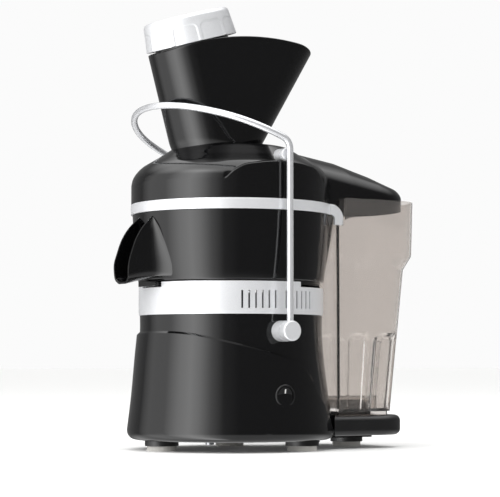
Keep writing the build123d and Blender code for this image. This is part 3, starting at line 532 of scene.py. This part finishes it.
def spoutShell(setup):
    # each line from root to lip is a parabola pulled in at the bend; the inside is the lip's U carried straight back
    share = np.linspace(-1, 1, 81)
    side = np.sign(share)[:, None] * (1, 0, 0) + (0, 1, 1)
    root, bend, lip = (through(setup[name], np.abs(share)) * side for name in ("root", "bend", "lip"))
    t = np.linspace(0, 1, 30)[:, None, None]
    radius = np.interp(root[:, 2], setup["wallLevels"], setup["wallOutside"])
    root[:, 1] = np.sqrt(radius**2 - root[:, 0] ** 2) - setup["sunk"]
    weight = 2 * t * (1 - t) * setup["pull"]
    outer = ((1 - t) ** 2 * root + weight * bend + t**2 * lip) / ((1 - t) ** 2 + weight + t**2)
    wall = setup["wall"]
    narrow = np.array((1 - wall / setup["lipHalf"], 1, 1))
    lift = wall * (1 - step(0.2, 0.42, np.abs(share)))[:, None] * (0, 0, 1)
    innerLip = lip * narrow + lift
    innerRoot = stacked(innerLip[:, 0], setup["insideEnd"], bend[:, 2] + lift[:, 2] + 1)
    inner = innerRoot + (innerLip - innerRoot) * t
    place = lambda sheet: stacked(sheet[..., 0], -sheet[..., 1], sheet[..., 2])
    return slab(place(outer), place(inner))


def addBowl(setup):
    bowl = makeMesh("juice_bowl_shell", [bowlShell(setup)])
    combine(bowl, makeMesh("mouth", [beam(setup["mouth"], *setup["mouthReach"])]), "DIFFERENCE")
    finishPiece(bowl, "gloss_black", stands=["juice_bowl"], crease=32)
    finishPiece(makeMesh("beak_spout", [spoutShell(setup)]), "gloss_black", crease=40, bevel=0.35)
    tab = rounded(setup["catch"], 4)
    across = setup["catchHalf"] * np.linspace(-1, 1, 9)[:, None]
    catch = makeMesh("bowl_catch", [ring(stacked(across, tab[:, 0], tab[:, 1]))])
    finishPiece(catch, "gloss_black", crease=32)


addBowl(bowlSetup)
print("bowl made")


# the motor's front skirt
skirtSetup = {
    "outside": [(20, 103.5), (48.5, 100), (98.5, 95.5), (118, 93.5)],
    "inside": [(20, 102.15), (48.5, 98.05), (98.5, 92.35), (118, 91.8)],
    # the swept top edge: distance behind the axis, level
    "edge": [(-104, 117), (-88, 116), (-50, 106), (0, 92.5), (27, 82), (48, 57), (63, 40), (72, 24)],
    "bottom": 20,
    "soft": 2.2,
    "end": 72,  # how far behind the axis it reaches
}


def addSkirt(setup):
    # for each direction round the base the wall runs up to the swept edge and rolls over it
    turn = np.linspace(-1, 1, 241)
    full = np.pi - np.arccos(setup["end"] / 103)
    angle = (turn * full)[:, None]
    outside, inside = np.array(setup["outside"], float), np.array(setup["inside"], float)
    top = np.full_like(angle, 60.0)
    for _ in range(40):  # the edge's level depends on the wall's radius there, and the radius on the level
        radius = np.interp(top, outside[:, 0], outside[:, 1])
        top = 0.5 * top + 0.5 * through(setup["edge"], -radius * np.cos(angle))[..., 0]
    top = np.maximum(top, setup["bottom"] + 1.5)
    level = setup["bottom"] + (top - setup["bottom"]) * np.linspace(0, 1, 50)
    out = through(outside, level)[..., 0]
    rim = through(inside, level)[..., 0]
    below = np.clip((level - (top - setup["soft"])) / setup["soft"], 0, 1)
    out = out - (1 - np.sqrt(1 - below**2)) * (out - rim) * 0.96
    radius = np.concatenate([out, rim[:, ::-1]], 1)
    height = np.concatenate([level, level[:, ::-1]], 1)
    grid = stacked(radius * np.sin(angle), -radius * np.cos(angle), height)
    skirt = makeMesh("motor_skirt", [ring(grid)])
    finishPiece(skirt, "gloss_black", stands=["front_skirt"], crease=30)


addSkirt(skirtSetup)
print("skirt made")


# the pusher's cap
capSetup = {
    "lean": 15.6,
    "foot": (-17.6, 300.5),  # where the tube's axis meets the dome: distance behind the drive axis, level
    "low": 106.3,
    "high": 134.8,
    "radius": 46,
    "taper": 6.7,  # degrees
    "crown": 5.5,
    "flutes": 10,
    "fluteDepth": 0.7,
    "fluteTop": 125,
}


def leaned(grid, setup):
    # from the tube's own coordinates to the object's
    lean = np.radians(setup["lean"])
    x, y, z = grid[..., 0], grid[..., 1], grid[..., 2]
    return stacked(x, y * np.cos(lean) - z * np.sin(lean) + setup["foot"][0],
                   y * np.sin(lean) + z * np.cos(lean) + setup["foot"][1])


def addPusherCap(setup):
    # a tapered round cap with a rolled crown; shallow flutes round its side end in soft arches
    low, high, radius, crown = setup["low"], setup["high"], setup["radius"], setup["crown"]
    drop = np.tan(np.radians(setup["taper"]))
    side = np.linspace(low, high - crown, 44)
    bend = np.linspace(0, np.pi / 2, 14)[1:]
    shoulder = radius - drop * (high - crown - low)
    r = np.concatenate([[0, radius - 4, radius - 0.8], radius - drop * (side - low),
                        shoulder - crown * (1 - np.cos(bend)), [shoulder * 0.45, 0]])
    crownZ = high - crown + crown * np.sin(bend) - 0.6 * (1 - np.cos(bend))
    z = np.concatenate([[low, low, low], side, crownZ, [high, high]])
    z[3] += 0.6  # the soft lower edge
    angle = np.linspace(0, 2 * np.pi, 385)[:, None]
    wave = np.abs(np.mod(angle / (2 * np.pi) * setup["flutes"], 1) - 0.5) * 2  # 0 mid flute, 1 at its edges
    arch = setup["fluteTop"] - 9 * wave**6
    cut = (1 - step(0.8, 0.93, wave)) * (1 - step(arch - 2.4, arch, z)) * (np.arange(len(r)) > 2)
    r = r - setup["fluteDepth"] * cut
    grid = leaned(stacked(r * np.sin(angle), -r * np.cos(angle), z + 0 * angle), setup)
    cap = makeMesh("pusher_cap_fluted", [ring(grid)])
    finishPiece(cap, "silver_trim", body="pusher", stands=["pusher_cap"], crease=28)


addPusherCap(capSetup)
print("cap made")


# the lid: a dome with side gussets, and the hood over the container
lidSetup = {
    "wall": 100,
    "wallLow": 243,
    "wallHigh": 262,
    # radius and level
    "dome": [(100, 262), (98.4, 268.5), (94.6, 274.5), (89, 280), (82, 284.4), (75, 288.5), (66.5, 294),
             (59, 298.6), (52, 300.6), (44, 301)],
    "inside": [(97.6, 243), (97.6, 262), (94.7, 269.5), (87.2, 277.4), (73.7, 285.6), (63.5, 292.5),
               (50, 298), (30, 298.2), (0, 298.2)],
    # distance behind the axis, level
    "gusset": [(-60, 258), (-52, 267.6), (-44.6, 273.2), (-26.5, 277.6), (0, 279.4), (26.5, 277.6),
               (44.6, 273.2), (52, 267.6), (60, 258)],
    "gussetRoll": 1.5,
    "gussetFall": 0.06,  # the gusset's top falls a little towards its edge
    "tubeHole": 43.9,
    # distance behind the axis, half-width, level of the eaves and of the ridge
    "hoodRows": [(58, 63, 276, 299.6), (107, 62.6, 268, 292), (145, 60.5, 262, 281), (186, 57, 253, 266)],
    "hoodCorner": 36,
    "hoodRoll": 9,
    "hoodWall": 2.4,
    "hoodSkirt": [(58, 231), (80, 231), (140, 235), (200, 245)],
    "hoodClear": 106.7,  # the skirt starts outside this radius, so the lid still turns on its ring
    "crown": (0, 118),
}


def addDome(setup):
    # for each direction: up the wall to the gusset's arch, over its rolled edge, in to the dome and up to the top
    angle = np.linspace(0, 2 * np.pi, 361)[:, None]
    side = np.abs(np.sin(angle)) > 0.6
    wall, low, high, roll = setup["wall"], setup["wallLow"], setup["wallHigh"], setup["gussetRoll"]
    arch = np.where(side, through(setup["gusset"], -wall * np.cos(angle))[..., 0], high)
    arch = np.maximum(arch, high)
    dome = np.array(setup["dome"], float)
    line = through(np.column_stack([np.linspace(0, 1, len(dome)), dome]), np.linspace(0, 1, 60))
    wallZ = low + (arch - roll - low) * np.linspace(0, 1, 12)
    bend = np.linspace(0, np.pi / 2, 6)[1:]
    edgeR = wall - roll * (arch > high + 0.4) * (1 - np.cos(bend))
    edgeZ = arch - roll + roll * np.sin(bend)
    domeR = np.minimum(line[:, 0], edgeR[:, -1:])
    domeZ = np.maximum(line[:, 1], arch + setup["gussetFall"] * (wall - line[:, 0]))
    inside = np.array(setup["inside"], float)[::-1]
    once = 0 * angle
    radius = np.concatenate([wall + 0 * wallZ, edgeR, domeR, once, inside[:, 0] + once, wall + once], 1)
    height = np.concatenate([wallZ, edgeZ, domeZ, dome[-1, 1] + once, inside[:, 1] + once, low + once], 1)
    lid = makeMesh("lid_dome", [ring(stacked(radius * np.sin(angle), -radius * np.cos(angle), height))])
    turn = np.linspace(0, 2 * np.pi, 121)[:-1]
    up = np.array([-40, 30])[:, None]
    tube = leaned(stacked(setup["tubeHole"] * np.sin(turn), setup["tubeHole"] * np.cos(turn), up), capSetup)
    combine(lid, makeMesh("hole", [ring(tube)]), "DIFFERENCE")
    finishPiece(lid, "gloss_black", stands=["lid"], crease=38)


def hoodPath(setup, wall):
    # the hood's outline from above, once round
    rows = np.array(setup["hoodRows"], float)
    front, rear = rows[0, 0] + wall, rows[-1, 0] - wall
    corner = setup["hoodCorner"] - wall
    depth = np.linspace(front, rear - corner, 40)
    half = np.interp(depth, rows[:, 0], rows[:, 1]) - wall
    turn = np.linspace(0, np.pi / 2, 22)[1:]
    last = half[-1] - np.sin(turn) * 2
    x = np.concatenate([half, last - corner * (1 - np.cos(turn)), np.linspace(last[-1] - corner, 0, 9)[1:]])
    y = np.concatenate([depth, rear - corner + corner * np.sin(turn), np.full(8, rear)])
    frontX = np.linspace(0, half[0], 12)[:-1]
    x, y = np.concatenate([frontX, x]), np.concatenate([np.full(11, front), y])
    return np.concatenate([x, -x[-2:0:-1]]), np.concatenate([y, y[-2:0:-1]])


def hoodSheet(setup, wall):
    # rows from the skirt's edge up the wall, over the rolled eaves and in to the crown
    x, y = hoodPath(setup, wall)
    rows = np.array(setup["hoodRows"], float)
    bottom = np.where(np.hypot(x, y) > setup["hoodClear"], through(setup["hoodSkirt"], y)[..., 0], 243.6)
    crownX, crownY = setup["crown"]
    inward = 1 - np.cos(np.linspace(0, np.pi / 2, 9)[:, None])
    away = np.hypot(x - crownX, y - crownY)
    roll = setup["hoodRoll"]
    start = roll / away
    travel = np.concatenate([start * inward, start + (1 - start) * np.linspace(0, 1, 18)[1:, None]])
    px, py = x + (crownX - x) * travel, y + (crownY - y) * travel
    half, eaves, ridge = (np.interp(py, rows[:, 0], rows[:, k]) for k in (1, 2, 3))
    roof = ridge - (ridge - eaves) * np.abs(px / half) ** 2.2 - wall
    near = np.clip(travel * away / roll, 0, 1)
    roof = roof - roll * 0.8 * (1 - np.sqrt(1 - (1 - near) ** 2))
    wallZ = bottom + (roof[0] - bottom) * np.linspace(0, 1, 14)[:-1, None]
    return np.concatenate([stacked(x, y, wallZ), stacked(px, py, roof)])


def addHood(setup):
    outer, inner = hoodSheet(setup, 0), hoodSheet(setup, setup["hoodWall"])
    grid = np.concatenate([outer, inner[::-1], outer[:1]])
    finishPiece(makeMesh("lid_hood", [ring(grid)]), "gloss_black", crease=38)


addDome(lidSetup)
addHood(lidSetup)
print("lid made")


# the hopper: the leaning feed tube and its flare
hopperSetup = {
    "tube": (43.8, 41.2),  # outer and inner radius
    "tubeLow": 217,
    "flareLow": (305, 44.9, 27.8),  # level, half-width, rear
    "flareHigh": (410, 51.8, 90.8),
    "front": (44.7, 46.4),  # half-width, and reach ahead of the tube's axis
    "join": (297, 305),  # where the tube's front grows to the flare's
    "wall": 2.3,
    "lip": 0.9,
    # distance behind the axis, level
    "rim": [(-110, 381.5), (-100, 384.5), (-55, 400), (-10, 407), (40, 405.5), (92, 393), (100, 390)],
}


def tubeCentre(level):
    # how far behind the drive axis the leaning tube's axis is
    depth, height = capSetup["foot"]
    return depth - (level - height) * np.tan(np.radians(capSetup["lean"]))


def flareOutline(level, half, rear, setup, wall):
    # at one level: half an oval round the tube's front, straight sides and a rounded rear
    centre, half, rear = tubeCentre(level), half - wall, rear - wall
    front, reach = setup["front"][0] - wall, setup["front"][1] - wall
    start = rear - half * 0.8
    share = np.linspace(0, 1, 41)
    turn = share * np.pi / 2
    x = np.concatenate([front * np.sin(turn), front + (half - front) * share[1::4], half * np.cos(turn[1:])])
    y = np.concatenate([centre - reach * np.cos(turn), centre + (start - centre) * share[1::4],
                        start + (rear - start) * np.sin(turn[1:])])
    return np.stack([np.append(x, -x[-2:0:-1]), np.append(y, y[-2:0:-1])])[:, None]


def flareSheet(level, setup, wall):
    # its columns are straight, so the outlines at two levels give every other one
    low, high = setup["flareLow"], setup["flareHigh"]
    lowOutline, highOutline = flareOutline(*low, setup, wall), flareOutline(*high, setup, wall)
    return lowOutline + (highOutline - lowOutline) * (level - low[0]) / (high[0] - low[0])


def hopperWall(setup, side):
    # the outside (0) or the inside (1): the tube, and the flare where it stands further from the tube's axis
    wall, radius = side * setup["wall"], setup["tube"][side]
    share = np.linspace(0, 1, 106)[:, None]
    top = 400
    for _ in range(12):  # the rim's level follows the depth there, and the depth the level
        level = setup["tubeLow"] + (top - setup["tubeLow"]) * share
        x, y = flareSheet(level, setup, wall)
        top = through(setup["rim"], y[-1])[..., 0]
    lean, centre = np.radians(capSetup["lean"]), tubeCentre(level)
    away = (y - centre) * np.cos(lean)
    reach, angle = np.hypot(x, away), np.arctan2(x, away)
    reach = radius + (np.maximum(reach, radius) - radius) * step(*setup["join"], level)
    return stacked(reach * np.sin(angle), centre + reach * np.cos(angle) / np.cos(lean),
                   level - setup["lip"] * share)


def addHopper(setup):
    outer, inner = hopperWall(setup, 0), hopperWall(setup, 1)
    bend = np.linspace(0, np.pi, 7)[1:-1, None, None]
    middle, reach = (outer[-1] + inner[-1]) / 2, (outer[-1] - inner[-1]) / 2
    lip = middle + reach * np.cos(bend) + (0, 0, setup["lip"]) * np.sin(bend)
    hopper = makeMesh("hopper_and_tube", [ring(np.concatenate([outer, lip, inner[::-1], outer[:1]]))])
    finishPiece(hopper, "gloss_black", stands=["feed_hopper"], crease=40)


addHopper(hopperSetup)
print("hopper made")


# the trim ring with its two curled hooks
ringSetup = {
    "section": [(-1, 0, 0.25), (1, 0, 0.25), (1, 1, 0.25), (-1, 1, 0.25)],  # across the wall, up the band
    "radius": 98.8,
    "halfThick": 1.5,
    "levels": (232.6, 242.9),
    "end": (68.2, 74.0),  # where the hooks turn down: half-width and depth
    "curl": 4.4,  # inner radius of the curl
    "low": 222.7,
}


def addTrimRing(setup):
    # the band's section round the axis, then out along each side, curled down and straight to the hook's foot
    flat = rounded(setup["section"], 5)
    thick, up = flat[:, 0] * setup["halfThick"], flat[:, 1]
    low, high = setup["levels"]
    tall = high - low
    endX, endY = setup["end"]
    turn = np.linspace(0, np.pi - np.arcsin(endX / setup["radius"]), 150)[:, None]
    r = setup["radius"] + thick
    band = stacked(r * np.sin(turn), -r * np.cos(turn), low + tall * up)
    bend = np.linspace(0, np.pi / 2, 20)[:, None]
    reach = setup["curl"] + tall * up
    pivot = low - setup["curl"]
    curl = stacked(endX + thick, endY + reach * np.sin(bend), pivot + reach * np.cos(bend))
    foot = stacked(endX + thick, endY + reach, setup["low"] + 0 * reach)[None]
    half = np.concatenate([band, curl, foot])
    other = half[::-1] * (-1, 1, 1)
    finishPiece(makeMesh("trim_ring_hooked", [ring(np.concatenate([other[:-1], half]))]), "silver_trim",
                stands=["trim_ring"], crease=40)


addTrimRing(ringSetup)
print("trim ring made")


# the pulp container
boxSetup = {
    "levels": [(37, 62, 171), (181, 66.5, 185), (195, 69.2, 193.6), (250, 70, 195)],  # level, half-width, rear
    "middle": 138,  # distance behind the drive axis
    "front": 106,  # radius of the hollow front, round the drive axis
    "corner": 42,
    "wall": 2.0,
    "floor": 2.5,
    "frontTop": 222,  # the front wall is lower than the rest, up to this far behind the axis
    "frontEnd": 90.5,
    "panelTop": 116,
    "panelDepth": 2.3,
    "panels": [(72, 95), (99, 138), (146, 186)],  # runs round each side's outline from the middle of the front
    # the rail's channel, its housing and two runners: outline across and up, then where it starts and ends
    "housing": [(17.4, 37.4, 0.3), (17.4, 52, 2), (-17.4, 52, 2), (-17.4, 37.4, 0.3)],
    "housingReach": (106.5, 168.4),
    "channel": [(15.2, 30, 0.1), (15.2, 50, 1), (-15.2, 50, 1), (-15.2, 30, 0.1)],
    "channelReach": (86, 166.4),
    "runner": [(-1.5, 33, 0.5), (1.5, 33, 0.5), (1.5, 38, 0.2), (-1.5, 38, 0.2)],
    "runnerAside": 45,
    "runnerReach": (98, 158),
}


def boxOutline(half, rear, front, corner):
    # one side from the middle of the front to the middle of the rear, by share of each stretch, then mirrored
    cornerY = np.sqrt(front**2 - half**2)
    turn = np.linspace(0, 1, 25)[:-1] * np.arcsin(half / front)
    straight = np.linspace(0, 1, 31)[:-1]
    bend = np.linspace(0, np.pi / 2, 25)[:-1]
    back = np.linspace(0, 1, 9)
    x = np.concatenate([front * np.sin(turn), half + 0 * straight, half - corner + corner * np.cos(bend),
                        (half - corner) * (1 - back)], -1)
    y = np.concatenate([front * np.cos(turn), cornerY + (rear - corner - cornerY) * straight,
                        rear - corner + corner * np.sin(bend), rear + 0 * back], -1)
    return np.concatenate([x, -x[..., -2:0:-1]], -1), np.concatenate([y, y[..., -2:0:-1]], -1)


def boxWalls(setup, wall):
    # level by level from the floor up; panels are pressed in below the panel line, with round tops
    rise = np.concatenate([np.linspace(0, 0.5, 34), np.linspace(0.51, 1, 40)])
    base = setup["levels"][0][0] + (setup["floor"] if wall else 0)
    table = np.array(setup["levels"], float)
    level = base + (table[-1, 0] - base) * rise
    half = np.interp(level, table[:, 0], table[:, 1])[:, None] - wall
    rear = np.interp(level, table[:, 0], table[:, 2])[:, None] - wall
    x, y = boxOutline(half, rear, setup["front"] + wall, setup["corner"] - wall)
    lengths = np.hypot(np.diff(x[:1], axis=1, append=x[:1, :1]), np.diff(y[:1], axis=1, append=y[:1, :1]))
    run = np.concatenate([[0], np.cumsum(lengths[0])[:-1]])
    run = np.minimum(run, run[-1] + lengths[0, -1] - run)  # the same on both sides
    height = level[:, None] + 0 * x
    middleX, middleY = np.sign(x) * 20, setup["middle"]  # panels are pressed in towards these
    away = np.hypot(x - middleX, y - middleY)
    press = 0
    for low, high in setup["panels"]:
        centre, reach = (low + high) / 2, (high - low) / 2
        edge = np.abs(run - centre) / reach
        top = setup["panelTop"] - 7 * np.clip(edge, 0, 1) ** 4
        press = press + (1 - step(0.82, 1.0, edge)) * (1 - step(top - 3, top, height)) * step(37, 41, height)
    press = setup["panelDepth"] * press
    x, y = x - (x - middleX) / away * press, y - (y - middleY) / away * press
    return stacked(x, y, np.where(y < setup["frontEnd"], np.minimum(height, setup["frontTop"]), height))


def addContainer(setup):
    outer, inner = boxWalls(setup, 0), boxWalls(setup, setup["wall"])
    low = setup["levels"][0][0]
    centre = np.array((0, setup["middle"], 0))
    flat = lambda row, share, level: centre + (row - centre) * (share, share, 0) + (0, 0, level)
    bottom = np.stack([flat(outer[0], share, low) for share in (0, 0.5)])
    floor = np.stack([flat(inner[0], share, low + setup["floor"]) for share in (0.5, 0)])
    container = makeMesh("smoky_container", [ring(np.concatenate([bottom, outer, inner[::-1], floor]))])
    combine(container, makeMesh("housing", [beam(setup["housing"], *setup["housingReach"], 4)]), "UNION")
    combine(container, makeMesh("channel", [beam(setup["channel"], *setup["channelReach"], 4)]), "DIFFERENCE")
    for side in (1, -1):
        runner = [(side * setup["runnerAside"] + x, z, cut) for x, z, cut in setup["runner"]]
        combine(container, makeMesh("runner", [beam(runner, *setup["runnerReach"], 4)]), "UNION")
    finishPiece(container, "smoky_clear", body="container", stands=["pulp_container"], crease=28)


addContainer(boxSetup)
print("container made")


# the switch
switchSetup = {
    "level": 54,
    # distance from the drive axis, radius
    "bezel": [(94, 9.3, 0.3), (98, 9.3, 0.3), (99.4, 9.5, 0.7), (100.2, 10.4, 0.5), (99.2, 11, 0.5),
              (97.9, 11, 0.2), (94, 10.9, 0.2)],
    "fold": 98.9,  # the rocker's face is a shallow V, lowest at its middle
    "slope": 2.1 / 16,
    "proud": 0.12,  # the marks' thickness above the face
    "sunk": 0.1,
    "barUp": (4.4, 0.65, 2.1),  # middle, half-width, half-height of the "on" bar
    "ringDown": (-4.4, 2.1, 1.2),  # middle, outer and inner radius of the "off" ring
}


def onRocker(across, up, lift, setup):
    # a point of the legend, laid on the rocker's V
    return stacked(setup["fold"] + setup["slope"] * np.abs(up) + lift, across, setup["level"] + up)


def addSwitch(setup):
    turn = np.linspace(0, 2 * np.pi, 97)[:, None]
    outline = rounded(setup["bezel"], 5)
    out, radius = outline[:, 0], outline[:, 1]
    grid = stacked(out, radius * np.sin(turn), setup["level"] + radius * np.cos(turn))
    finishPiece(makeMesh("switch_ring", [ring(grid)]), "switch_black", crease=30)
    low, high = -setup["sunk"], setup["proud"]
    lift = np.array([low, high])[:, None]
    middle, half, tall = setup["barUp"]
    bar = rounded([(-half, middle - tall, 0.3), (half, middle - tall, 0.3),
                   (half, middle + tall, 0.3), (-half, middle + tall, 0.3)], 4)
    middle, wide, narrow = setup["ringDown"]
    turn = np.linspace(0, 2 * np.pi, 49)[:, None]
    loop = np.array([(wide, low), (wide, high), (narrow, high), (narrow, low)])
    off = onRocker(loop[:, 0] * np.sin(turn), middle + loop[:, 0] * np.cos(turn), loop[:, 1], setup)
    marks = makeMesh("switch_marks", [ring(onRocker(bar[:, 0], bar[:, 1], lift, setup)), ring(off)])
    finishPiece(marks, "switch_black", body="rocker", crease=30)
    marks.data.materials[0] = legendInk()


addSwitch(switchSetup)
print("switch made")
